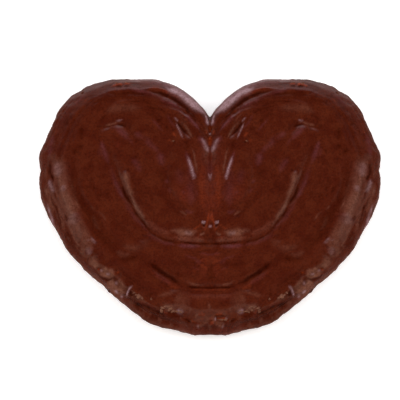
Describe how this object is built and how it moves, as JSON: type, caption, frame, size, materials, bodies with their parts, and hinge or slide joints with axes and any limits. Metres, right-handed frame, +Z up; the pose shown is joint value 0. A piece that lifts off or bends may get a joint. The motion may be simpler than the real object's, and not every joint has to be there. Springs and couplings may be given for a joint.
{
  "type": "chocolate-coated palmier pastry",
  "caption": "Heart-shaped palmier: a slice of coiled puff pastry lying flat, dipped all over in dark chocolate, with the coil showing as soft folds.",
  "frame": {"origin": "on the resting plane, under the middle of the pastry's box", "axes": "+X across the heart, +Y from the rounded base towards the notch between the lobes, +Z up out of the shown face"},
  "size_m": [0.13, 0.0992, 0.018],
  "materials": {
    "dark_chocolate": "set dark chocolate, satin gloss with fine unevenness"
  },
  "bodies": {
    "root": {"palmier": "dark_chocolate"}
  },
  "joints": []
}
